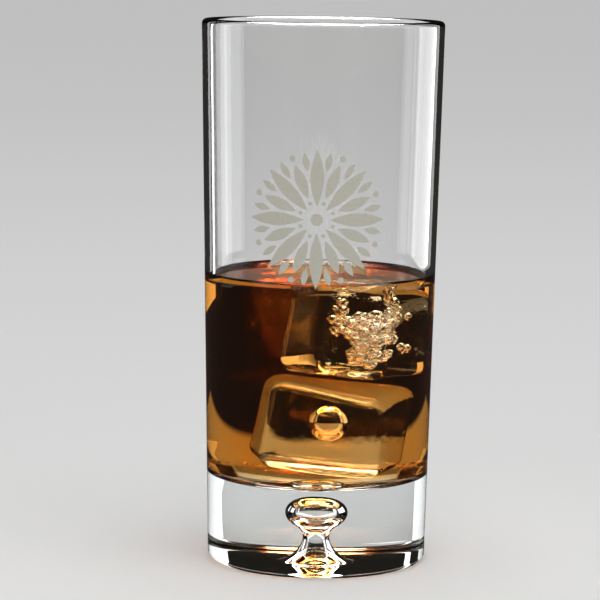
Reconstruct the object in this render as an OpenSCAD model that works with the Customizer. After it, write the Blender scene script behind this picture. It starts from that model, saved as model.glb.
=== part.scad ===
// Straight-sided highball glass with a bubble blown in its heavy base,
// poured a little over half full of whisky on two ice cubes.
// Lengths are in millimetres. The origin is the middle of the foot, with +Z up
// and the side that faces the viewer towards -Y.

/* [Tumbler] */
// Height of the tumbler
glass_h = 154; // [135:1:180]
// Outer diameter at the rim
rim_d = 68.6; // [66:0.1:80]
// Outer diameter at the foot
foot_d = 62.2; // [60:0.1:66]
// Thickness of the side wall, which is also that of the lip
wall_t = 2.8; // [2:0.1:3.6]
// Thickness of the solid base, from the table to the inside floor
base_t = 24.2; // [21:0.1:32]
// Radius of the inside corner between wall and floor
corner_r = 5; // [2:0.1:8]
// Radius of the outside corner of the foot
heel_r = 1.8; // [0.8:0.1:3]
// Diameter of the shallow hollow under the foot
punt_d = 50; // [36:1:54]
// Depth of that hollow at its middle
punt_depth = 0.8; // [0.3:0.1:1.5]

/* [Air bubble in the base] */
// Width of the ball of air
ball_d = 11.8; // [10.8:0.1:14]
// Height of the ball of air
ball_h = 9.2; // [8:0.1:10.5]
// Glass left between the ball and the inside floor
ball_cover = 4.7; // [3:0.1:6]
// Width of the neck under the ball
neck_d = 5; // [3.5:0.1:6]
// Width of the flared mouth where the neck opens under the foot
mouth_d = 14.6; // [12:0.1:18]

/* [Whisky] */
// Depth of the drink at the middle of the glass
drink_depth = 57.5; // [56:0.5:80]
// Height that the drink climbs up the wall
meniscus_h = 1.1; // [0.5:0.1:1.6]

/* [Lower ice cube] */
// Width of the lower cube
lower_w = 28.9; // [24:0.1:30]
// Front to back size of the lower cube
lower_l = 27; // [23:0.1:29]
// Height of the lower cube
lower_h = 25.3; // [20:0.1:26]
// Radius of the melted edges of the lower cube
lower_r = 3.8; // [2:0.1:5]
// How much narrower the top of the lower cube is on each side
lower_draft = 0.2; // [0.1:0.1:2]
// Turn of the lower cube about the upright, in degrees
lower_turn = -2.5; // [-20:0.5:0]
// Lean of the lower cube towards the right, in degrees
lower_lean = 8; // [2:0.5:10]
// How far its top front right corner has melted down
lower_melt = 2.8; // [0.5:0.1:4]
// Height of its lowest edge above the floor
lower_rise = 1; // [0.4:0.1:1.8]
// Diameter of the round air bubble at its middle
pearl_d = 9.2; // [4:0.1:12]

/* [Upper ice cube] */
// Width of the upper cube
upper_w = 28.5; // [24:0.1:30]
// Front to back size of the upper cube
upper_l = 27; // [23:0.1:29]
// Height of the upper cube
upper_h = 24.2; // [20:0.1:25]
// Radius of the melted edges of the upper cube
upper_r = 4; // [2:0.1:5]
// How much narrower the top of the upper cube is on each side
upper_draft = 1.4; // [0.1:0.1:3]
// Turn of the upper cube about the upright, in degrees
upper_turn = -25; // [-30:1:-5]
// Lean of the upper cube towards the right, in degrees
upper_lean = 3.8; // [0:0.1:6]
// How far the upper cube stands in front of the middle of the glass
upper_forward = 3.1; // [1:0.1:3.5]
// Drink between the two cubes where they come nearest
cube_gap = 2.6; // [0.5:0.1:3]

/* [Clearances] */
// Gap between the drink and the glass
drink_gap = 0.05; // [0.02:0.01:0.2]
// Gap between each ice cube and the drink round it
ice_gap = 0.3; // [0.2:0.05:0.5]
// Least gap between an ice cube and the wall of the glass
wall_gap = 0.5; // [0.4:0.05:1]

/* [Hidden] */
$fn = 96;
// facets round the small spheres that a cube's hull is stretched over
cube_fn = 32;
// overrun of a cut past the face that it opens
cut = 1;

rim_r = rim_d / 2;
foot_r = foot_d / 2;
ball_r = ball_h / 2;
neck_r = neck_d / 2;
mouth_r = mouth_d / 2;
punt_r = punt_d / 2;
lip_r = wall_t / 2;

// the walls are straight lines in the section, leaning out by this angle
lean = atan((rim_r - foot_r) / glass_h);

// outer and inner radius of the tumbler at a height
function outer_at(z) = foot_r + (rim_r - foot_r) * z / glass_h;
function inner_at(z) = outer_at(z) - wall_t / cos(lean);

// a step of length r square to the leaning wall, outwards
function outwards(r) = [r * cos(lean), -r * sin(lean)];

// middle of a round of radius r that touches the outer or the inner wall, at height z
function round_inside_outer(r, z) = [outer_at(z - r * sin(lean)) - r * cos(lean), z];
function round_inside_inner(r, z) = [inner_at(z - r * sin(lean)) - r * cos(lean), z];

lip = round_inside_outer(lip_r, glass_h - lip_r);
heel = round_inside_outer(heel_r, heel_r);
corner = round_inside_inner(corner_r, base_t + corner_r);

// radius of the shallow dome that the hollow under the foot is cut with
punt_dome_r = (punt_r * punt_r + punt_depth * punt_depth) / (2 * punt_depth);

// the ball of air is a round of radius ball_r swept about the axis
ball_z = base_t - ball_cover - ball_r;
ball_x = max(ball_d / 2 - ball_r, 0);
// the neck is narrowest at this share of the ball's height above the table
neck_height_share = 0.55;
neck_z = ball_z * neck_height_share;

// concave round from the neck up to the ball, which touches both
neck_in = neck_r - ball_x;
neck_up = ball_z - neck_z;
throat_r = (neck_in * neck_in + neck_up * neck_up - ball_r * ball_r) / (2 * (ball_r - neck_in));
throat_x = neck_r + throat_r;
throat_share = ball_r / (ball_r + throat_r);
throat_end = [
    ball_x + throat_share * (throat_x - ball_x),
    ball_z - throat_share * neck_up
];

// concave round from the neck down to the mouth
flare_in = mouth_r - neck_r;
flare_up = neck_z - punt_depth;
flare_r = (flare_in * flare_in + flare_up * flare_up) / (2 * flare_in);

// the drink's surface, and the thin edge that its meniscus ends in
drink_top = base_t + drink_depth;
meniscus_tip = 0.12;

// half size of a cube between the middles of its rounded corners
function corner_reach(w, r) = w / 2 - r;

// a melted corner has gone this share of its drop sideways
melt_across = 0.8;

// middle of the round at one corner, seen from the middle of an upright cube:
// the top is narrower by the draft, and its front right corner is melted down
function corner_spot(w, l, h, r, draft, melt, i, j, k) =
    let (
        inset = k > 0 ? draft : 0,
        worn = i > 0 && j < 0 && k > 0 ? melt : 0
    )
    [
        i * (corner_reach(w, r) - inset) - melt_across * worn,
        j * (corner_reach(l, r) - inset),
        k * corner_reach(h, r) - worn
    ];

// the same spot once the cube is turned about the upright and then leans to the right
function placed_spot(spot, turn, tip) =
    let (across = spot[0] * cos(turn) - spot[1] * sin(turn))
    [
        across * cos(tip) + spot[2] * sin(tip),
        spot[0] * sin(turn) + spot[1] * cos(turn),
        spot[2] * cos(tip) - across * sin(tip)
    ];

function placed_corners(w, l, h, r, draft, melt, turn, tip) = [
    for (i = [-1, 1], j = [-1, 1], k = [-1, 1])
        placed_spot(corner_spot(w, l, h, r, draft, melt, i, j, k), turn, tip)
];

// distance to the right at which one of the corners comes as near to the wall as it may
function room(corners, r, y, wall) = min([
    for (c = corners)
        let (reach = wall - wall_gap - r)
        sqrt(max(reach * reach - (c[1] + y) * (c[1] + y), 0)) - c[0]
]);

// the lower cube hangs in the drink, with its lowest edge just off the floor
lower_corners = placed_corners(
    lower_w, lower_l, lower_h, lower_r, lower_draft, lower_melt, lower_turn, lower_lean
);
lower_z = base_t + lower_rise + lower_r - min([for (c = lower_corners) c[2]]);

// each cube stands to the right by a share of the room that the glass leaves it
lower_shift_share = 0.2;
upper_shift_share = 0.72;
lower_x = lower_shift_share * room(lower_corners, lower_r, 0, inner_at(lower_z));

upper_corners = placed_corners(
    upper_w, upper_l, upper_h, upper_r, upper_draft, 0, upper_turn, upper_lean
);
upper_y = -upper_forward;
upper_x = upper_shift_share
    * room(upper_corners, upper_r, upper_y, inner_at(lower_z + lower_h / 2));

// its lowest corner stays over the lower cube's sloping top by the gap between them
lower_top_faces = [sin(lower_lean), 0, cos(lower_lean)];
upper_step = [upper_x - lower_x, 0, 0];
upper_nearest = min([for (c = upper_corners) (c + upper_step) * lower_top_faces]);
upper_z = lower_z + (lower_h / 2 + upper_r + cube_gap - upper_nearest) / cos(lower_lean);

// air bubbles frozen into the upper cube, in a cloud that is broad seen from the front:
// places as shares of its half sizes, and the diameter as a share of its height
upper_bubble_shares = [
    [-0.25, -0.04, 0.77, 0.070],
    [-0.32, 0.07, 0.43, 0.083],
    [-0.37, -0.07, 0.02, 0.112],
    [-0.15, -0.07, 0.32, 0.095],
    [0.09, 0.07, 0.43, 0.103],
    [0.32, -0.07, 0.15, 0.112],
    [0.39, 0.03, 0.88, 0.070],
    [0.47, 0.01, 0.57, 0.083],
    [0.53, 0.09, 0.17, 0.083],
    [-0.04, 0.09, -0.05, 0.095],
    [0.20, 0.04, -0.22, 0.107],
    [-0.09, -0.07, -0.41, 0.095],
    [0.17, -0.06, -0.60, 0.103],
    [0.44, 0.05, -0.62, 0.074],
    [-0.05, 0.10, -0.69, 0.070],
    [0.74, 0.00, 0.33, 0.074],
    [0.90, 0.01, 0.57, 0.050],
    [0.67, -0.01, -0.43, 0.074],
    [0.84, 0.01, -0.32, 0.058]
];

// The right half of a section that is swept round: what lies left of the axis is cut off.
module right_half() {
    intersection() {
        children();
        translate([0, -glass_h])
            square([rim_d, 3 * glass_h]);
    }
}

// The inside of a straight wall above the floor, drawn in by a gap and filled up to a height.
module inside_section(gap, top) {
    floor_z = base_t + gap;
    bend_r = corner_r - gap;
    touch = corner + outwards(bend_r);
    polygon([
        [0, floor_z],
        [corner[0], floor_z],
        corner,
        touch,
        [inner_at(top) - gap / cos(lean), top],
        [0, top]
    ]);
    translate(corner)
        circle(bend_r);
}

// Outside of the tumbler up to the level where the lip's round begins.
module outside_section() {
    polygon([
        [0, 0],
        [heel[0], 0],
        heel,
        heel + outwards(heel_r),
        lip + outwards(lip_r),
        lip - outwards(lip_r),
        [0, lip[1] + lip_r * sin(lean)]
    ]);
    translate(heel)
        circle(heel_r);
}

// The air in the base: a ball, a narrow neck and a mouth that flares out under the foot.
module bubble_section() {
    translate([ball_x, ball_z])
        circle(ball_r);
    translate([0, ball_z - ball_r])
        square([ball_x, ball_h]);
    difference() {
        translate([0, neck_z])
            square([throat_end[0], throat_end[1] - neck_z]);
        translate([throat_x, neck_z])
            circle(throat_r);
    }
    difference() {
        translate([0, -cut])
            square([neck_r + flare_r, neck_z + cut]);
        translate([neck_r + flare_r, neck_z])
            circle(flare_r);
    }
}

// One piece of clear pressed glass: wall, rounded lip, heavy base and the bubble in it.
module tumbler() {
    color([0.86, 0.92, 0.94, 0.35])
        rotate_extrude()
            right_half()
                union() {
                    difference() {
                        outside_section();
                        inside_section(0, glass_h + cut);
                        bubble_section();
                        translate([0, punt_depth - punt_dome_r])
                            circle(punt_dome_r, $fn = 720);
                    }
                    translate(lip)
                        circle(lip_r);
                }
}

// A cube of ice with melted edges, slightly narrower at its top, grown by a gap.
module ice_block(w, l, h, r, draft, melt, gap) {
    hull()
        for (i = [-1, 1], j = [-1, 1], k = [-1, 1])
            translate(corner_spot(w, l, h, r, draft, melt, i, j, k))
                sphere(r + gap, $fn = cube_fn);
}

// The two cubes modelled about their own middles, each grown by a gap.
module lower_block(gap) {
    ice_block(lower_w, lower_l, lower_h, lower_r, lower_draft, lower_melt, gap);
}
module upper_block(gap) {
    ice_block(upper_w, upper_l, upper_h, upper_r, upper_draft, 0, gap);
}

// Puts a cube that is modelled about its own middle at the lower place in the glass.
module at_lower_place() {
    translate([lower_x, 0, lower_z])
        rotate([0, lower_lean, 0])
            rotate([0, 0, lower_turn])
                children();
}

// The same for the upper place.
module at_upper_place() {
    translate([upper_x, upper_y, upper_z])
        rotate([0, upper_lean, 0])
            rotate([0, 0, upper_turn])
                children();
}

// The whisky fills the glass to its level, climbs a little at the wall
// and leaves a hollow round each cube.
module whisky() {
    brim_r = inner_at(drink_top + meniscus_h) - drink_gap - meniscus_tip;
    color([0.72, 0.36, 0.08, 0.8])
        difference() {
            rotate_extrude()
                right_half()
                    difference() {
                        inside_section(drink_gap, drink_top + meniscus_h);
                        translate([brim_r - meniscus_h, drink_top + meniscus_h])
                            circle(meniscus_h);
                        translate([0, drink_top])
                            square([brim_r - meniscus_h, meniscus_h + cut]);
                    }
            at_lower_place()
                lower_block(ice_gap);
            at_upper_place()
                upper_block(ice_gap);
        }
}

// The lower cube, with one round bubble of air at its middle.
module lower_ice_cube() {
    color([0.95, 0.83, 0.55, 0.6])
        at_lower_place()
            difference() {
                lower_block(0);
                sphere(d = pearl_d);
            }
}

// The upper cube, with a cloud of small air bubbles through its middle.
module upper_ice_cube() {
    color([0.97, 0.86, 0.62, 0.6])
        at_upper_place()
            difference() {
                upper_block(0);
                rotate([0, 0, -upper_turn])
                    for (share = upper_bubble_shares)
                        translate([
                            share[0] * upper_w / 2,
                            share[1] * upper_l / 2,
                            share[2] * upper_h / 2
                        ])
                            sphere(d = share[3] * upper_h);
            }
}

tumbler();
whisky();
lower_ice_cube();
upper_ice_cube();
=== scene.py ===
# %% [markdown]
# # A highball glass of whisky on two cubes of ice
# The real object is one piece of clear glass with a drink and two pieces of ice
# in it. Everything here is seen through something else, so the lesson is about
# closed shapes that nest in each other: glass round whisky, whisky round ice,
# and ice round bubbles of air. The frame gives the size and place of each piece,
# and the shapes made here stand exactly where the frame has them.

import math
import random

import bmesh
import bpy
from mathutils import Matrix, Vector, noise


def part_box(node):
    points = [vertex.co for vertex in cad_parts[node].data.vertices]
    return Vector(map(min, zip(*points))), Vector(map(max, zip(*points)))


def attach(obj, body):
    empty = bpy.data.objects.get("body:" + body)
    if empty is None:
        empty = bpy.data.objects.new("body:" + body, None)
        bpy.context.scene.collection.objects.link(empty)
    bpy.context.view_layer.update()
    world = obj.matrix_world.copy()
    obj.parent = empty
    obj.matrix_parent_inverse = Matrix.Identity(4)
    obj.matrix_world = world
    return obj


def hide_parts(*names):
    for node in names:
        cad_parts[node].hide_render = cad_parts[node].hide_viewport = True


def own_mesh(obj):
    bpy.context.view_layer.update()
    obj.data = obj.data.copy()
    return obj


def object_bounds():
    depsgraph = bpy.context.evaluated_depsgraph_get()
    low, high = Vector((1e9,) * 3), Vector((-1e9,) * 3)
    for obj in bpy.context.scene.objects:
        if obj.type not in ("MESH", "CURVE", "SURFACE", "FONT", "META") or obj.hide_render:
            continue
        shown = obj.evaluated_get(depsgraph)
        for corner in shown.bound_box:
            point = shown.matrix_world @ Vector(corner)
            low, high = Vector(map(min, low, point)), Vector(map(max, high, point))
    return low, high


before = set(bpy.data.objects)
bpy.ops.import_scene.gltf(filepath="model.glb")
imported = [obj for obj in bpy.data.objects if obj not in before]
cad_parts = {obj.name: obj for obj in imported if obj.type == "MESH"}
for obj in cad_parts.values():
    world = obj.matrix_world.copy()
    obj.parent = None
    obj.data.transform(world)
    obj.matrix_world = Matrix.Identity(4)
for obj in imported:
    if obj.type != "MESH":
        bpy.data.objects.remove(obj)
cad_low, cad_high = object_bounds()
print("frame box in mm", [round(c * 1000, 1) for c in (*cad_low, *cad_high)])

# %% [markdown]
# ## Measures
# A glass is drawn as a section, half a slice through the middle. These are the
# sizes of that section in metres. The walls are straight and lean out a little
# towards the rim, so one line gives the outside and a second one, a wall's
# thickness further in, gives the inside.

# %% The tumbler's measures
MM = 0.001
glass_h = cad_high.z
rim_r = 34.3 * MM
foot_r = 31.1 * MM
wall = 2.8 * MM
base = 24.2 * MM
corner_r = 5 * MM
heel_r = 1.8 * MM
ring_edge_r = 4 * MM
punt_r = 25 * MM
punt_depth = 0.8 * MM
lean = math.atan((rim_r - foot_r) / glass_h)


def outer_at(z):
    """Radius of the outside of the glass at a height."""
    return foot_r + (rim_r - foot_r) * z / glass_h


def inner_at(z):
    """Radius of the inside of the glass at a height."""
    return outer_at(z) - wall / math.cos(lean)


print("the wall leans out by", round(math.degrees(lean), 2), "degrees")

# %% [markdown]
# ## From a section to a turned shape
# A glass is blown or pressed in a round mould, so the honest way to model it is
# to draw its section and turn it round the axis. The section starts as a few
# straight lines. The bevel operator rounds each corner to its own radius, and
# the spin operator turns the section through a full circle. Long lines are cut
# into short ones first, so that the smooth shading near a rounded corner can't
# creep along the whole wall and bend the light there.

# %% Draw a section and turn it
ROUND_STEPS = 14
TURN_STEPS = 224
LONGEST_LINE = 3.0 * MM
MERGE = 0.002 * MM


def corner_offset(before, at, after, radius):
    """How far from a corner its rounding starts, for a round of this radius."""
    angle = (before - at).angle(after - at)
    return radius / math.tan(angle / 2)


def draw_section(points):
    """Makes a section from (radius, height, rounding) points, with its corners rounded."""
    bm = bmesh.new()
    spots = [Vector((x, 0, z)) for x, z, _ in points]
    verts = [bm.verts.new(spot) for spot in spots]
    for one, next_one in zip(verts, verts[1:]):
        bm.edges.new((one, next_one))
    for i, (_, _, radius) in enumerate(points):
        if radius:
            bmesh.ops.bevel(
                bm,
                geom=[verts[i]],
                offset=corner_offset(spots[i - 1], spots[i], spots[i + 1], radius),
                offset_type="OFFSET",
                segments=ROUND_STEPS,
                profile=0.5,
                affect="VERTICES",
                material=-1,
            )
    for edge in bm.edges[:]:
        cuts = int(edge.calc_length() / LONGEST_LINE)
        if cuts:
            bmesh.ops.subdivide_edges(bm, edges=[edge], cuts=cuts)
    return bm


def turn_section(bm):
    """Turns a section round the upright axis and closes it."""
    bmesh.ops.spin(
        bm,
        geom=bm.verts[:] + bm.edges[:],
        cent=(0, 0, 0),
        axis=(0, 0, 1),
        angle=2 * math.pi,
        steps=TURN_STEPS,
        use_merge=True,
    )
    bmesh.ops.remove_doubles(bm, verts=bm.verts[:], dist=MERGE)
    bmesh.ops.recalc_face_normals(bm, faces=bm.faces[:])


def as_object(name, bm, smooth=True):
    """Turns a finished bmesh into an object and says how big it is."""
    for face in bm.faces:
        face.smooth = smooth
    mesh = bpy.data.meshes.new(name)
    bm.to_mesh(mesh)
    triangles = sum(len(face.verts) - 2 for face in bm.faces)
    open_edges = sum(1 for edge in bm.edges if not edge.is_manifold)
    bm.free()
    made = bpy.data.objects.new(name, mesh)
    bpy.context.scene.collection.objects.link(made)
    print(name, "triangles", triangles, "open edges", open_edges)
    return made


# %% [markdown]
# ## The bubble in the base
# A pin is pushed into the hot base from below, and the hole closes round the
# air at its top. What is left is a flattened ball, a narrow neck and a mouth
# that flares out under the foot. In the section these are three rounds that
# touch each other, so two slanting lines and their rounded corners draw them.
# A rounding that takes up the whole of a line leaves a bevel nothing to start
# from, so the largest ones are made just under their full radius.

# %% The bubble's part of the section
ball_r = 4.6 * MM
ball_reach = 5.9 * MM
ball_cover = 4.7 * MM
neck_r = 2.5 * MM
mouth_r = 7.3 * MM
mouth_edge_r = 0.35 * MM
neck_height_share = 0.55
just_under = 0.98

ball_z = base - ball_cover - ball_r
neck_z = ball_z * neck_height_share
ball_middle = Vector((ball_reach - ball_r, ball_z))
neck_in = neck_r - ball_middle.x
neck_up = ball_z - neck_z
throat_r = (neck_in**2 + neck_up**2 - ball_r**2) / (2 * (ball_r - neck_in))
throat_middle = Vector((neck_r + throat_r, neck_z))

towards = (throat_middle - ball_middle).normalized()
touch = ball_middle + towards * ball_r
slope = -towards.x / towards.y


def on_throat_line(x):
    """Height of the slanting line that touches both the ball and the throat."""
    return touch.y + (x - touch.x) * slope


flare_in = mouth_r - neck_r
flare_up = neck_z - punt_depth
flare_r = (flare_in**2 + flare_up**2) / (2 * flare_in)
flare_drop = flare_in * (flare_r - flare_in) / flare_up

bubble_points = [
    (0, ball_z + ball_r, 0),
    (ball_reach, ball_z + ball_r, ball_r * just_under),
    (ball_reach, on_throat_line(ball_reach), ball_r * just_under),
    (neck_r, on_throat_line(neck_r), throat_r * just_under),
    (neck_r, punt_depth + flare_drop, flare_r * just_under),
    (mouth_r, punt_depth, mouth_edge_r),
]
print("throat and flare in mm", round(throat_r / MM, 2), round(flare_r / MM, 2))

# %% [markdown]
# ## The tumbler
# The rest of the section runs under the foot, up the outside, over the rounded
# lip and down the inside to the floor. The lip is fire-polished, so it is a full
# round as thick as the wall. The result is one closed skin, as the real glass is.

# %% Turn the tumbler
tumbler_section = draw_section(
    bubble_points
    + [
        (punt_r, 0, ring_edge_r),
        (foot_r, 0, heel_r),
        (rim_r, glass_h, wall / 2 * just_under),
        (inner_at(glass_h), glass_h, wall / 2 * just_under),
        (inner_at(base), base, corner_r),
        (0, base, 0),
    ]
)
turn_section(tumbler_section)
tumbler = as_object("clear_tumbler", tumbler_section)
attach(tumbler, "glass")
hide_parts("tumbler")

# %% [markdown]
# ## A frosted star on the front
# The front of the glass carries a plain ornament of the kind that is etched on
# bar glasses: a star of slim rays with dots between them. It is drawn flat
# first. Each ray is a small grid that is drawn in towards both of its ends. Then
# the drawing gets a thickness of a few hundredths of a millimetre, and is rolled
# on to the wall, half sunk into the glass so that no gap shows. It is shaded
# flat, because smooth shading would make such thin pieces look like pillows.

# %% Rays and dots of the flat drawing
RAY_CUTS = 16
RAY_FULLNESS = 0.9
DOT_SIDES = 24


def add_ray(bm, first, last, width, angle):
    """A slim leaf in the flat drawing, between two distances from the middle."""
    made = bmesh.ops.create_grid(bm, x_segments=RAY_CUTS, y_segments=2, size=0.5)
    for vert in made["verts"]:
        along = vert.co.x + 0.5
        across = 2 * vert.co.y * math.sin(math.pi * along) ** RAY_FULLNESS
        vert.co = (width / 2 * across, 0, first + (last - first) * along)
    turn = Matrix.Rotation(angle, 4, "Y")
    bmesh.ops.transform(bm, matrix=turn, verts=made["verts"])


def add_dot(bm, distance, radius, angle):
    """A round dot in the flat drawing."""
    place = Matrix.Rotation(angle, 4, "Y") @ Matrix.Translation((0, 0, distance))
    upright = Matrix.Rotation(math.pi / 2, 4, "X")
    bmesh.ops.create_circle(
        bm, cap_ends=True, segments=DOT_SIDES, radius=radius, matrix=place @ upright
    )


# %% Draw the star
# a ray goes from one distance to another, with a width; a dot has a distance and a radius
LONG_RAY = (3.6 * MM, 19.2 * MM, 3.7 * MM)
SHORT_RAY = (6.2 * MM, 16.2 * MM, 3.0 * MM)
TIP_LEAF = (13.4 * MM, 18.6 * MM, 1.9 * MM)
OUTER_DOT = (18.0 * MM, 0.85 * MM)
INNER_DOT = (4.8 * MM, 0.55 * MM)
MIDDLE_DOT = (0, 1.7 * MM)
STAR_MERGE = 0.01 * MM
ray_turn = math.pi / 4

star = bmesh.new()
for step in range(8):
    angle = step * ray_turn
    half_way = angle + ray_turn / 2
    add_ray(star, *LONG_RAY, angle)
    add_ray(star, *SHORT_RAY, half_way)
    add_dot(star, *OUTER_DOT, half_way)
    for side in (-1, 1):
        add_ray(star, *TIP_LEAF, angle + side * ray_turn / 4)
    add_dot(star, *INNER_DOT, half_way)
add_dot(star, *MIDDLE_DOT, 0)
bmesh.ops.remove_doubles(star, verts=star.verts[:], dist=STAR_MERGE)
print("faces in the flat drawing", len(star.faces))

# %% Give it a thickness and roll it on to the wall
STAR_HEIGHT = 100.6 * MM
STAR_ACROSS = -1.1 * MM
STAR_SUNK = 0.03 * MM
STAR_PROUD = 0.04 * MM

thick = bmesh.ops.extrude_face_region(star, geom=star.faces[:], use_keep_orig=True)
front = [item for item in thick["geom"] if isinstance(item, bmesh.types.BMVert)]
for vert in star.verts:
    vert.co.y = STAR_SUNK
for vert in front:
    vert.co.y = -STAR_PROUD
for vert in star.verts:
    height = STAR_HEIGHT + vert.co.z
    radius = outer_at(height) - vert.co.y
    angle = (vert.co.x + STAR_ACROSS) / outer_at(height)
    vert.co = (radius * math.sin(angle), -radius * math.cos(angle), height)
bmesh.ops.recalc_face_normals(star, faces=star.faces[:])
frosted_star = as_object("frosted_star", star, smooth=False)
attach(frosted_star, "glass")

# %% [markdown]
# ## The whisky
# A drink touches the glass everywhere, but two skins in exactly one place
# flicker. So the whisky's skin stands a hair inside the glass wall. Light that
# goes in meets glass, then whisky, and leaves the glass again within a tenth of
# a millimetre, which bends it just as the one real surface between them does.
# At the top the whisky climbs the wall in a small hollow round, the meniscus.

# %% Turn the whisky
poke = 0.1 * MM
meniscus = 1.1 * MM
whisky_low, whisky_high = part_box("whisky")
level = whisky_high.z - meniscus
brim = inner_at(whisky_high.z)

whisky_section = draw_section(
    [
        (0, base - poke, 0),
        (inner_at(base) + poke, base - poke, corner_r + poke),
        (brim + poke, whisky_high.z, 0),
        (brim, whisky_high.z, 0),
        (brim, level, meniscus * just_under),
        (0, level, 0),
    ]
)
turn_section(whisky_section)

# %% [markdown]
# ## Air along the bottom edge
# Where the wall meets the floor, air clings to the glass after pouring. It makes
# the glittering line that rings the bottom of the drink. A bubble is a surface
# of the drink itself, seen from the other side. So each one is a small ball whose
# faces are turned to look inwards, and it belongs to the same mesh as the drink.

# %% Blow one bubble


def add_bubble(bm, place, radius, detail, stretch=1.0):
    """Adds one hollow ball to a mesh, with its faces turned inwards."""
    matrix = Matrix.Translation(place) @ Matrix.Diagonal((1, 1, stretch, 1))
    made = bmesh.ops.create_icosphere(bm, subdivisions=detail, radius=radius, matrix=matrix)
    faces = {face for vert in made["verts"] for face in vert.link_faces}
    bmesh.ops.reverse_faces(bm, faces=list(faces))


def has_room(place, radius, placed, gap):
    """Whether a new bubble keeps clear of those that are there already."""
    return all((place - p).length > radius + r + gap for p, r in placed)


# %% Cling tiny bubbles to the bottom edge
EDGE_TRIES = 170
EDGE_SMALLEST = 0.16 * MM
EDGE_LARGEST = 0.42 * MM
# how far round the inside corner they sit, in degrees from level
EDGE_LOWEST = -88
EDGE_HIGHEST = -58
EDGE_SKIN = 0.12 * MM
EDGE_GAP = 0.03 * MM
EDGE_DETAIL = 1

edge_rng = random.Random(5)
edge_middle_x = inner_at(base + corner_r) - corner_r
edge_middle_z = base + corner_r
edge_places = []
for _ in range(EDGE_TRIES):
    radius = edge_rng.uniform(EDGE_SMALLEST, EDGE_LARGEST)
    down = math.radians(edge_rng.uniform(EDGE_LOWEST, EDGE_HIGHEST))
    reach = corner_r - radius - EDGE_SKIN
    across = edge_middle_x + reach * math.cos(down)
    round_angle = edge_rng.uniform(0, 2 * math.pi)
    place = Vector((
        across * math.cos(round_angle),
        across * math.sin(round_angle),
        edge_middle_z + reach * math.sin(down),
    ))
    if has_room(place, radius, edge_places, EDGE_GAP):
        edge_places.append((place, radius))
for place, radius in edge_places:
    add_bubble(whisky_section, place, radius, EDGE_DETAIL)
whisky = as_object("poured_whisky", whisky_section)
print("bubbles along the bottom edge", len(edge_places))
print("whisky stands", round((level - base) / MM, 1), "mm deep")

# %% [markdown]
# ## The ice
# A cube from a tray is a little narrower at the end that faced up, and its edges
# melt round first. So each cube starts as a box, its top is drawn in, its edges
# are bevelled, and a soft noise moves the faces in and out by a few tenths of a
# millimetre, as melting does. The lower cube has lost one corner, the top one at
# the front right, so that corner is pulled in and down before the bevel. The
# frame says where each cube lies.

# %% Make a block of ice
ICE_ROUND_STEPS = 7
ICE_FACE_CUTS = 11
MELT = 0.22 * MM
MELT_SCALE = 95.0


def ice_block(size, round_r, draft, seed, melted_corner=(0, 0, 0)):
    """A box with melted edges and a drawn-in top, about its own middle."""
    bm = bmesh.new()
    bmesh.ops.create_cube(bm, size=1)
    bmesh.ops.scale(bm, vec=size, verts=bm.verts[:])
    for vert in bm.verts:
        if vert.co.z > 0:
            vert.co.x -= math.copysign(draft, vert.co.x)
            vert.co.y -= math.copysign(draft, vert.co.y)
            if vert.co.x > 0 > vert.co.y:
                vert.co += Vector(melted_corner)
    bmesh.ops.bevel(
        bm,
        geom=bm.edges[:],
        offset=round_r,
        offset_type="OFFSET",
        segments=ICE_ROUND_STEPS,
        profile=0.5,
        affect="EDGES",
        material=-1,
    )
    long_edges = [edge for edge in bm.edges if edge.calc_length() > round_r]
    bmesh.ops.subdivide_edges(bm, edges=long_edges, cuts=ICE_FACE_CUTS, use_grid_fill=True)
    bmesh.ops.recalc_face_normals(bm, faces=bm.faces[:])
    bm.normal_update()
    offset = Vector((seed, 0, 0))
    for vert in bm.verts:
        vert.co += vert.normal * MELT * noise.noise(vert.co * MELT_SCALE + offset)
    return bm


def put_in_place(bm, node, lean_angle, turn_angle):
    """Turns and leans a block, then moves its box's middle to that of the frame's node."""
    turned = Matrix.Rotation(lean_angle, 4, "Y") @ Matrix.Rotation(turn_angle, 4, "Z")
    bmesh.ops.transform(bm, matrix=turned, verts=bm.verts[:])
    lows = [min(vert.co[axis] for vert in bm.verts) for axis in range(3)]
    highs = [max(vert.co[axis] for vert in bm.verts) for axis in range(3)]
    middle = (Vector(lows) + Vector(highs)) / 2
    node_low, node_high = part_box(node)
    moved = (node_low + node_high) / 2 - middle
    bmesh.ops.translate(bm, vec=moved, verts=bm.verts[:])
    return Matrix.Translation(moved) @ turned


# %% [markdown]
# ## Air in the ice
# A bubble in ice is made like those in the drink, as hollow balls in the mesh of
# the cube. The bubbles must not cut each other, so a new one is kept only where
# it has room. The large ones are tried first, and the small ones then fill the
# gaps between them, as they do where water freezes round trapped air.

# %% Find places for a cloud of bubbles
BUBBLE_GAP = 0.04 * MM
# a third fills a lump evenly, and more than that crowds it towards its middle
CLOUD_SPREAD = 0.4


def fill_cloud(lumps, rounds, seed):
    """Places for bubbles inside a few round lumps, large ones first, none touching."""
    rng = random.Random(seed)
    placed = []
    for tries, smallest, largest in rounds:
        for _ in range(tries):
            middle, reach = rng.choice(lumps)
            way = Vector([rng.gauss(0, 1) for _ in range(3)]).normalized()
            share = rng.random() ** CLOUD_SPREAD
            radius = rng.uniform(smallest, largest)
            place = Vector(middle) + Vector([w * r * share for w, r in zip(way, reach)])
            if has_room(place, radius, placed, BUBBLE_GAP):
                placed.append((place, radius))
    return placed


# %% [markdown]
# ## Two cubes, and the hollows that they leave in the whisky
# The whisky may not run through the ice. A live Boolean cuts each cube out of
# it. The cutter is the cube drawn in by a hair, for the same reason as at the
# glass wall. It isn't shown, and it rides with its cube, so that the whisky
# closes again where a cube is lifted out.

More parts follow.
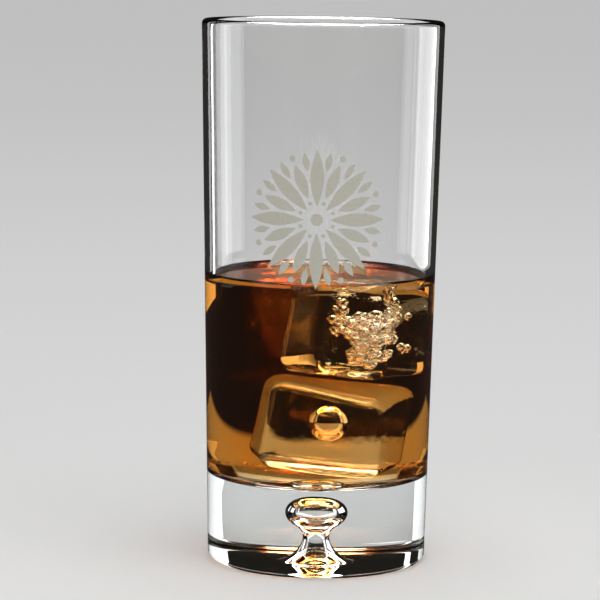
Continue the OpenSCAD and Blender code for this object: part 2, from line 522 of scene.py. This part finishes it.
# %% Make the cubes
CUT_IN = 0.08 * MM
lower_size = Vector((28.9, 27, 25.3)) * MM
lower_round_r = 3.8 * MM
lower_draft = 0.2 * MM
lower_lean = math.radians(8)
lower_turn = math.radians(-2.5)
lower_melted = Vector((-2.24, 0, -2.8)) * MM
upper_size = Vector((28.5, 27, 24.2)) * MM
upper_round_r = 4.0 * MM
upper_draft = 1.4 * MM
upper_lean = math.radians(3.8)
upper_turn = math.radians(-25)
# the one large bubble of the lower cube, from the cube's middle
pearl_place = Vector((-0.2, 0, 1.1)) * MM
pearl_r = 4.4 * MM
pearl_stretch = 1.19
pearl_detail = 5


def cutter_for(bm, name, body):
    """A hidden copy of a block, drawn in by a hair, that rides with its cube."""
    copy = bm.copy()
    copy.normal_update()
    steps = [(vert, vert.normal.copy()) for vert in copy.verts]
    for vert, normal in steps:
        vert.co -= normal * CUT_IN
    cutter = as_object(name, copy)
    cutter.hide_render = True
    cutter.display_type = "WIRE"
    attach(cutter, body)
    cut = whisky.modifiers.new(name, "BOOLEAN")
    cut.operation = "DIFFERENCE"
    cut.solver = "EXACT"
    cut.object = cutter


lower_block = ice_block(
    lower_size, lower_round_r, lower_draft, seed=3, melted_corner=lower_melted
)
lower_place = put_in_place(lower_block, "lower_ice_cube", lower_lean, lower_turn)
cutter_for(lower_block, "lower_ice_hollow", "lower_ice")
add_bubble(lower_block, lower_place @ pearl_place, pearl_r, pearl_detail, pearl_stretch)
lower_ice = as_object("lower_ice_block", lower_block)
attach(lower_ice, "lower_ice")
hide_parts("lower_ice_cube")

upper_block = ice_block(upper_size, upper_round_r, upper_draft, seed=8)
upper_place = put_in_place(upper_block, "upper_ice_cube", upper_lean, upper_turn)
cutter_for(upper_block, "upper_ice_hollow", "upper_ice")

# %% The cloud of air in the upper cube
FINE_FROM = 0.7 * MM
FINE_DETAIL = 3
PLAIN_DETAIL = 2
# the middle of each lump from the cube's middle, and how far it reaches each way
cloud_lumps = [
    (Vector((1.6, 0, -6.7)) * MM, Vector((4.2, 5.0, 2.6)) * MM),
    (Vector((2.4, 0, -1.6)) * MM, Vector((4.8, 5.5, 3.4)) * MM),
    (Vector((3.0, 0, 2.6)) * MM, Vector((5.0, 5.5, 2.8)) * MM),
    (Vector((-2.8, 0, 1.6)) * MM, Vector((3.4, 4.5, 3.4)) * MM),
    (Vector((-3.8, 0, 6.2)) * MM, Vector((1.5, 2.5, 2.6)) * MM),
    (Vector((6.6, 0, 6.2)) * MM, Vector((1.6, 2.5, 3.6)) * MM),
    (Vector((10.4, 0, 4.0)) * MM, Vector((0.9, 0.9, 1.0)) * MM),
    (Vector((9.8, 0, -5.0)) * MM, Vector((1.7, 1.0, 1.3)) * MM),
]
# how many tries, and the smallest and largest radius
cloud_rounds = [
    (2400, 1.20 * MM, 1.60 * MM),
    (2600, 0.75 * MM, 1.05 * MM),
    (1400, 0.45 * MM, 0.60 * MM),
]
cloud_middle = upper_place.translation
cloud = fill_cloud(cloud_lumps, cloud_rounds, seed=11)
for place, radius in cloud:
    detail = FINE_DETAIL if radius > FINE_FROM else PLAIN_DETAIL
    add_bubble(upper_block, cloud_middle + place, radius, detail)
print("bubbles in the cloud", len(cloud))
upper_ice = as_object("upper_ice_block", upper_block)
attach(upper_ice, "upper_ice")
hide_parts("upper_ice_cube")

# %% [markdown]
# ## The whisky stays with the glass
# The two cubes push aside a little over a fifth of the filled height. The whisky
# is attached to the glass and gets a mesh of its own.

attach(whisky, "glass")
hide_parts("whisky")
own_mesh(whisky)

# %% [markdown]
# ## Shader maths
# A material is a small program. To write it as one, a number that comes out of
# a node is wrapped, and the usual signs add the Math nodes. Every other node
# comes from one method that takes its type, its settings and its sockets.

# %% The wrapper for numbers


class Number:
    """A socket that carries a number, with the signs of arithmetic."""

    def __init__(self, nodes, socket):
        self.nodes = nodes
        self.socket = socket

    def __sub__(self, other):
        return self.nodes.maths("SUBTRACT", self, other)

    def __rsub__(self, other):
        return self.nodes.maths("SUBTRACT", other, self)

    def __mul__(self, other):
        return self.nodes.maths("MULTIPLY", self, other)

    __rmul__ = __mul__


# %% The node method
MIX_FIRST_COLOUR = 6
MIX_SECOND_COLOUR = 7
MIX_BLENDED_COLOUR = 2


class Nodes:
    """A node tree, and the one method that adds nodes to it."""

    def __init__(self, tree):
        self.tree = tree

    def add(self, kind, settings=None, sockets=None):
        """One node: its settings first, then a value or a link for each socket."""
        node = self.tree.nodes.new(kind)
        for key, value in (settings or {}).items():
            setattr(node, key, value)
        for key, value in (sockets or {}).items():
            value = value.socket if isinstance(value, Number) else value
            if isinstance(value, bpy.types.NodeSocket):
                self.tree.links.new(value, node.inputs[key])
            else:
                node.inputs[key].default_value = value
        return node

    def number(self, kind, output, settings=None, sockets=None):
        """The same for a node whose output is used in sums."""
        return Number(self, self.add(kind, settings, sockets).outputs[output])

    def maths(self, operation, *values):
        """A Math node on two or three values."""
        return self.number(
            "ShaderNodeMath", 0, {"operation": operation}, dict(enumerate(values))
        )

    def blend(self, share, first, second):
        """The first colour where the share is 0, the second where it is 1."""
        mix = self.add(
            "ShaderNodeMix",
            {"data_type": "RGBA"},
            {"Factor": share, MIX_FIRST_COLOUR: first, MIX_SECOND_COLOUR: second},
        )
        return mix.outputs[MIX_BLENDED_COLOUR]


# %% [markdown]
# Most finishes here need the same few things: a noise that is fixed to the
# piece, a bump made from it, and a skin or a body that light goes through. So a
# finish is a node tree with its own material and a method for each of these.

# %% A finish
WHITE = (1.0, 1.0, 1.0, 1.0)
BLACK = (0.0, 0.0, 0.0, 1.0)


class Finish(Nodes):
    """A material and its shader."""

    def __init__(self, name):
        self.material = bpy.data.materials.new(name)
        self.material.use_nodes = True
        super().__init__(self.material.node_tree)
        self.tree.nodes.clear()
        self.out = self.tree.nodes.new("ShaderNodeOutputMaterial")

    def place(self):
        """Where a point lies on the piece itself."""
        return self.add("ShaderNodeTexCoord").outputs["Object"]

    def noise(self, scale, detail):
        """A noise that stays on the piece."""
        return self.number(
            "ShaderNodeTexNoise", "Fac", None,
            {"Vector": self.place(), "Scale": scale, "Detail": detail},
        )

    def bump(self, height, strength, distance):
        """A bump that is as high as a number says."""
        node = self.add(
            "ShaderNodeBump", None,
            {"Strength": strength, "Distance": distance, "Height": height},
        )
        return node.outputs[0]

    def surface(self, shader):
        """Gives the material its skin."""
        self.tree.links.new(shader.outputs[0], self.out.inputs["Surface"])

    def clear_skin(self, ior, bump):
        """A smooth skin that lets all light through and bends it."""
        self.surface(
            self.add(
                "ShaderNodeBsdfPrincipled",
                None,
                {
                    "Base Color": WHITE,
                    "Roughness": 0.0,
                    "IOR": ior,
                    "Transmission Weight": 1.0,
                    "Normal": bump,
                },
            )
        )

    def tinted_body(self, colour, density):
        """A body that takes away light along the way through it."""
        body = self.add("ShaderNodeVolumeAbsorption", None, {"Color": colour, "Density": density})
        self.tree.links.new(body.outputs[0], self.out.inputs["Volume"])

    def glow(self, colour, strength):
        """A skin that gives off light."""
        self.surface(self.add("ShaderNodeEmission", None, {"Color": colour, "Strength": strength}))


# %% [markdown]
# ## Clear glass
# Pressed glass is nearly perfect, but its skin has very slow waves left by the
# mould. A faint, large noise drives the bump. The body of the glass takes away
# a trace of light, so that the heavy base looks denser than the thin wall.

# %% The glass finish
GLASS_IOR = 1.51
GLASS_COLOUR = (0.80, 0.86, 0.85, 1.0)
GLASS_DENSITY = 9.0

glass = Finish("clear_glass")
glass_waves = glass.noise(scale=55.0, detail=1.0)
glass.clear_skin(GLASS_IOR, glass.bump(glass_waves, strength=0.06, distance=0.0006))
glass.tinted_body(GLASS_COLOUR, GLASS_DENSITY)
tumbler.data.materials.append(glass.material)
print("clear glass, index", GLASS_IOR)

# %% [markdown]
# ## The frosted ornament
# Etched or sand-blasted glass scatters light like paper. Here it is a pale, warm
# grey, so that it stands out from the pale ground behind the glass, and a very
# fine noise gives its grain.

# %% The frosted finish
FROST_DARK = (0.44, 0.42, 0.35, 1.0)
FROST_LIGHT = (0.60, 0.575, 0.49, 1.0)

frost = Finish("frosted_glass")
grain = frost.noise(scale=2400.0, detail=2.0)
frost.surface(
    frost.add(
        "ShaderNodeBsdfPrincipled",
        None,
        {
            "Base Color": frost.blend(grain, FROST_DARK, FROST_LIGHT),
            "Roughness": 0.65,
            "Normal": frost.bump(grain, strength=0.15, distance=0.00005),
        },
    )
)
frosted_star.data.materials.append(frost.material)
print("frosted glass, from", FROST_DARK[:3], "to", FROST_LIGHT[:3])

# %% [markdown]
# ## Whisky
# The colour of a drink is not on its surface. It builds up along the way that
# light takes through it, from pale straw in a thin edge to a dark brown across
# the whole glass. A volume that absorbs blue most and red least gives all of
# these from one colour.

# %% The whisky finish
WHISKY_IOR = 1.36
WHISKY_COLOUR = (0.93, 0.66, 0.09, 1.0)
WHISKY_DENSITY = 85.0

spirit = Finish("whisky")
ripple = spirit.noise(scale=40.0, detail=1.0)
spirit.clear_skin(WHISKY_IOR, spirit.bump(ripple, strength=0.05, distance=0.0004))
spirit.tinted_body(WHISKY_COLOUR, WHISKY_DENSITY)
whisky.data.materials.append(spirit.material)
left_over = [math.exp(-WHISKY_DENSITY * (1 - c) * 10 * MM) for c in WHISKY_COLOUR[:3]]
print("left after ten millimetres of whisky", [round(c, 2) for c in left_over])

# %% [markdown]
# ## Ice
# Wet ice is smooth at its skin and uneven in its body. A finer bump than that of
# the glass breaks up what is seen through it. Pure ice bends light a little less
# than whisky does, and nearly vanishes in it. This ice bends light a little more
# than the drink, so that its edges gather light in the bright gold ledges that
# make a cube stand out.

# %% The ice finish
ICE_IOR = 1.45

ice = Finish("wet_ice")
melt_waves = ice.noise(scale=160.0, detail=2.0)
ice.clear_skin(ICE_IOR, ice.bump(melt_waves, strength=0.10, distance=0.0005))
lower_ice.data.materials.append(ice.material)
upper_ice.data.materials.append(ice.material)
print("ice bends light", round(ICE_IOR / WHISKY_IOR, 3), "times as much as whisky")

# %% [markdown]
# ## The studio
# Glass shows only what it bends and mirrors, so its surroundings are half of its
# look. The glass stands on a pale floor under an even, pale sky. The drink is
# another matter: on a pale ground whisky looks like tea, and only darkness behind
# it makes it deep and makes its ice sparkle. So the floor and the sky are pale to
# the eye and through clear glass, and painted dark, a painted shade, for light
# that has also gone through the drink. The floor near the glass stays pale for it
# too, and gives the warm amber at the bottom. Floor and sky are painted dark in
# every reflection as well, and the sky overhead is painted dark for light bent
# through glass, which paints dark outlines on the rim and the edges. The drink's
# surface shows a painted reflection of a warm, dim sky that only it sees, or it
# would be a flat grey disc.

# %% What a ray of light has been through
# clear glass alone has four skins, and glass with drink in it has at least six
CLEAR_GLASS_SKINS = 4.5
NEVER_MIRRORED = 0.5
# two skins of the near wall on the way in, and two of the far wall on the way out
SKINS_OVER_THE_DRINK = 4.0
SAME_COUNT = 0.5


def light_path(nodes, output):
    """One fact about the ray that is looking at this point."""
    return Number(nodes, nodes.add("ShaderNodeLightPath").outputs[output])


def seen_through_drink(nodes):
    """1 for a ray that has passed more skins than clear glass alone has."""
    depth = light_path(nodes, "Transmission Depth")
    return nodes.maths("GREATER_THAN", depth, CLEAR_GLASS_SKINS)


def mirrored(nodes):
    """1 for a ray that a glossy skin has mirrored anywhere on its way."""
    return nodes.maths("GREATER_THAN", light_path(nodes, "Glossy Depth"), NEVER_MIRRORED)


def mirrored_by_drink(nodes):
    """1 for a ray that went through the near wall, and that the drink then mirrored."""
    depth = light_path(nodes, "Transmission Depth")
    return mirrored(nodes) * nodes.maths("COMPARE", depth, SKINS_OVER_THE_DRINK, SAME_COUNT)


def soft_step(nodes, value, middle, half_width):
    """Rises from 0 to 1 about a value."""
    return nodes.number(
        "ShaderNodeMapRange", 0,
        {"interpolation_type": "SMOOTHSTEP"},
        {"Value": value, "From Min": middle - half_width, "From Max": middle + half_width},
    )


# %% Floor
FLOOR_REACH = 14.0
FLOOR_SIDES = 96
# the floor near the glass, which stays pale through the drink
NEAR_HALF_DEPTH = 0.22
NEAR_HALF_WIDTH = 0.25
NEAR_EDGE = 0.010
# how far the floor darkens for light that a skin has mirrored
MIRRORED_SHARE = 0.97
pale = (0.72, 0.715, 0.705, 1.0)
painted_dark_floor = (0.012, 0.009, 0.006, 1.0)

floor_bm = bmesh.new()
bmesh.ops.create_circle(floor_bm, cap_ends=True, segments=FLOOR_SIDES, radius=FLOOR_REACH)
floor = as_object("pale_floor", floor_bm)

paper = Finish("pale_paper")
where = paper.add("ShaderNodeSeparateXYZ", None, {0: paper.place()})
across = paper.number("ShaderNodeMath", 0, {"operation": "ABSOLUTE"}, {0: where.outputs[0]})
along = paper.number("ShaderNodeMath", 0, {"operation": "ABSOLUTE"}, {0: where.outputs[1]})
far_floor = paper.maths(
    "MAXIMUM",
    soft_step(paper, along, NEAR_HALF_DEPTH, NEAR_EDGE),
    soft_step(paper, across, NEAR_HALF_WIDTH, NEAR_EDGE),
)
# painted shade: away from the glass the floor turns dark for light that has gone through the
# drink, and nearly black in every reflection
painted_floor_darkness = paper.maths(
    "MAXIMUM", far_floor * seen_through_drink(paper), mirrored(paper) * MIRRORED_SHARE
)
paper.surface(
    paper.add(
        "ShaderNodeBsdfPrincipled",
        None,
        {
            "Base Color": paper.blend(painted_floor_darkness, pale, painted_dark_floor),
            "Roughness": 0.8,
            "Specular IOR Level": 0.0,
        },
    )
)
floor.data.materials.append(paper.material)

# %% World
SKY_STRENGTH = 0.9
# the height of a direction above which the sky is painted dark for light bent through glass, a
# painted shade that draws dark outlines on the rim and the edges
OVERHEAD = 0.09
OVERHEAD_SOFTNESS = 0.02
sky_as_seen = (0.572, 0.574, 0.578, 1.0)
sky_as_light = (0.80, 0.81, 0.82, 1.0)
painted_dark_sky = (0.015, 0.013, 0.010, 1.0)
painted_drink_reflection = (0.36, 0.25, 0.18, 1.0)

world = bpy.data.worlds.new("studio")
bpy.context.scene.world = world
world.cycles.sampling_method = "NONE"
world.use_nodes = True
sky = Nodes(world.node_tree)
background = world.node_tree.nodes["Background"]
way = sky.add("ShaderNodeTexCoord").outputs["Generated"]
up = Number(sky, sky.add("ShaderNodeSeparateXYZ", None, {0: way}).outputs[2])
overhead = soft_step(sky, up, OVERHEAD, OVERHEAD_SOFTNESS)
bent = light_path(sky, "Is Transmission Ray")
lights_a_surface = light_path(sky, "Is Diffuse Ray")
# painted shade: the sky turns dark for light through the drink, for mirrored light, and overhead
# for light bent through glass, but not for light falling on surfaces
painted_dark_sky_share = sky.maths("MAXIMUM", seen_through_drink(sky), mirrored(sky))
painted_dark_sky_share = sky.maths("MAXIMUM", painted_dark_sky_share, bent * overhead) * (1 - lights_a_surface)
# painted reflection: light that the drink's surface mirrors sees a warm, dim sky of its own
dark = sky.blend(mirrored_by_drink(sky), painted_dark_sky, painted_drink_reflection)
lit = sky.blend(lights_a_surface, sky_as_seen, sky_as_light)
world.node_tree.links.new(sky.blend(painted_dark_sky_share, lit, dark), background.inputs["Color"])
background.inputs["Strength"].default_value = SKY_STRENGTH
print("sky strength", SKY_STRENGTH)

# %% [markdown]
# ## Soft boxes and cards
# Upright soft boxes stand behind the glass on both sides and draw the long
# highlights in its walls, and one large box overhead makes the ice sparkle. A
# glossy floor would shine where such boxes are mirrored in it. Bright cards on
# the floor stand for that shine as painted reflections: two wide ones brighten
# the edges of the drink, and two close behind the foot fill the sides of the
# heavy base. Boxes and cards are not seen and light nothing by themselves, so
# what they draw in the glass and the ice is painted highlight. A card turns black
# for light that has been mirrored, or the front wall would show it as a grey patch.


# %% Soft boxes
def hide_from_room(piece):
    """Leaves a piece to be seen only through glass, or in it."""
    piece.visible_camera = False
    piece.visible_diffuse = False
    piece.visible_shadow = False


def soft_box(name, middle, aim, across, upright, brightness):
    """A bright rectangle that glass mirrors and bends but that lights nothing itself."""
    bm = bmesh.new()
    bmesh.ops.create_grid(bm, x_segments=1, y_segments=1, size=0.5)
    bmesh.ops.scale(bm, vec=(across, upright, 1), verts=bm.verts[:])
    turn = (Vector(aim) - Vector(middle)).to_track_quat("-Z", "Y").to_matrix().to_4x4()
    bmesh.ops.transform(bm, matrix=Matrix.Translation(middle) @ turn, verts=bm.verts[:])
    box = as_object(name, bm)
    shine = Finish(name)
    shine.glow(WHITE, brightness)
    box.data.materials.append(shine.material)
    hide_from_room(box)


BOX_DISTANCE = 0.55
BOX_LOW = 0.012
BOX_HIGH = 0.60


def side_box(name, first_angle, last_angle, brightness):
    """An upright soft box that fills the sky between two angles from the camera's side."""
    angle = math.radians((first_angle + last_angle) / 2)
    half = math.radians(abs(last_angle - first_angle) / 2)
    height = (BOX_LOW + BOX_HIGH) / 2
    soft_box(
        name,
        (BOX_DISTANCE * math.sin(angle), -BOX_DISTANCE * math.cos(angle), height),
        (0, 0, height),
        2 * BOX_DISTANCE * math.tan(half),
        BOX_HIGH - BOX_LOW,
        brightness,
    )


TOP_BOX_PLACE = (0, 0.1, 1.1)
TOP_BOX_AIM = (0, 0, 0.1)
TOP_BOX_SIDE = 1.1
TOP_BOX_BRIGHTNESS = 30.0

# painted highlights: these boxes glow in glass and ice but light nothing
side_box("right_soft_box", 99, 140, brightness=1.8)
side_box("left_soft_box", -119, -101, brightness=1.5)
side_box("left_strip_box", -139, -133, brightness=1.9)
soft_box(
    "top_soft_box", TOP_BOX_PLACE, TOP_BOX_AIM, TOP_BOX_SIDE, TOP_BOX_SIDE, TOP_BOX_BRIGHTNESS
)

# %% Cards on the floor
CARD_HEIGHT = 0.4 * MM


def floor_card(name, apex, angles, near, far, brightness):
    """A painted reflection: a bright wedge where a glossy floor would mirror the soft box behind
    it.
    """
    first_angle, last_angle = angles
    bm = bmesh.new()
    bmesh.ops.create_grid(bm, x_segments=6, y_segments=1, size=0.5)
    for vert in bm.verts:
        angle = math.radians(first_angle + (last_angle - first_angle) * (vert.co.x + 0.5))
        reach = near + (far - near) * (vert.co.y + 0.5)
        vert.co = apex + reach * Vector((math.sin(angle), -math.cos(angle), 0))
    card = as_object(name, bm)
    shine = Finish(name)
    shine.glow(shine.blend(mirrored(shine), WHITE, BLACK), brightness)
    card.data.materials.append(shine.material)
    hide_from_room(card)
    card.visible_glossy = False


under_glass = Vector((0, 0, CARD_HEIGHT))
floor_card("right_card", under_glass, (99, 146), near=0.05, far=0.20, brightness=1.4)
floor_card("left_card", under_glass, (-126, -101), near=0.05, far=0.20, brightness=1.4)
# the near cards start at the back of the foot, where light leaves the base again
back_left = Vector((-5.9 * MM, 31.2 * MM, CARD_HEIGHT))
back_right = Vector((5.0 * MM, 31.3 * MM, CARD_HEIGHT))
floor_card("right_near_card", back_left, (93, 131), near=0.001, far=0.11, brightness=1.5)
floor_card("left_near_card", back_right, (-128, -93), near=0.001, far=0.15, brightness=1.5)


# %% Overhead light
def lamp(name, place, aim, side, power):
    """An even, matt light for the floor and the frosted ornament."""
    light = bpy.data.lights.new(name, "AREA")
    light.shape = "SQUARE"
    light.size = side
    light.energy = power
    made = bpy.data.objects.new(name, light)
    bpy.context.scene.collection.objects.link(made)
    made.location = place
    made.rotation_euler = (Vector(aim) - Vector(place)).to_track_quat("-Z", "Y").to_euler()
    made.visible_camera = False
    made.visible_glossy = False
    made.visible_transmission = False


lamp("overhead_light", place=(0.3, -0.5, 1.6), aim=(0, 0, 0), side=1.2, power=9.0)

# %% [markdown]
# ## The camera
# The view was measured from the glass itself: how its width falls from rim to
# foot, and how much its rim, the drink's surface and its foot open up into
# ellipses. They give a camera just above the height of the rim, under a metre
# away, that looks down a little and leans by under one degree.

# %% Set the camera
PHOTO_SIDE = 600
SENSOR = 36.0
camera_distance = 793.3 * MM
camera_height = 177.0 * MM
focal_pixels = 2804.0
look_down = math.radians(7.38)
look_left = math.radians(0.402)
camera_roll = math.radians(0.791)

camera_data = bpy.data.cameras.new("photo_view")
camera_data.sensor_width = SENSOR
camera_data.lens = focal_pixels / PHOTO_SIDE * SENSOR
camera_data.clip_start = 0.01
camera_data.clip_end = 50
camera = bpy.data.objects.new("photo_view", camera_data)
bpy.context.scene.collection.objects.link(camera)
camera.matrix_world = (
    Matrix.Translation((0, -camera_distance, camera_height))
    @ Matrix.Rotation(look_left, 4, "Z")
    @ Matrix.Rotation(math.pi / 2 - look_down, 4, "X")
    @ Matrix.Rotation(camera_roll, 4, "Z")
)
bpy.context.scene.camera = camera

# %% [markdown]
# ## Light paths
# Light passes through up to a dozen skins here, and each skin is a bounce. With
# too few bounces the inside of the glass turns black.

# %% Bounces and colour
scene = bpy.context.scene
scene.view_settings.view_transform = "Standard"
scene.cycles.max_bounces = 32
scene.cycles.transmission_bounces = 32
scene.cycles.glossy_bounces = 12
scene.cycles.transparent_max_bounces = 16
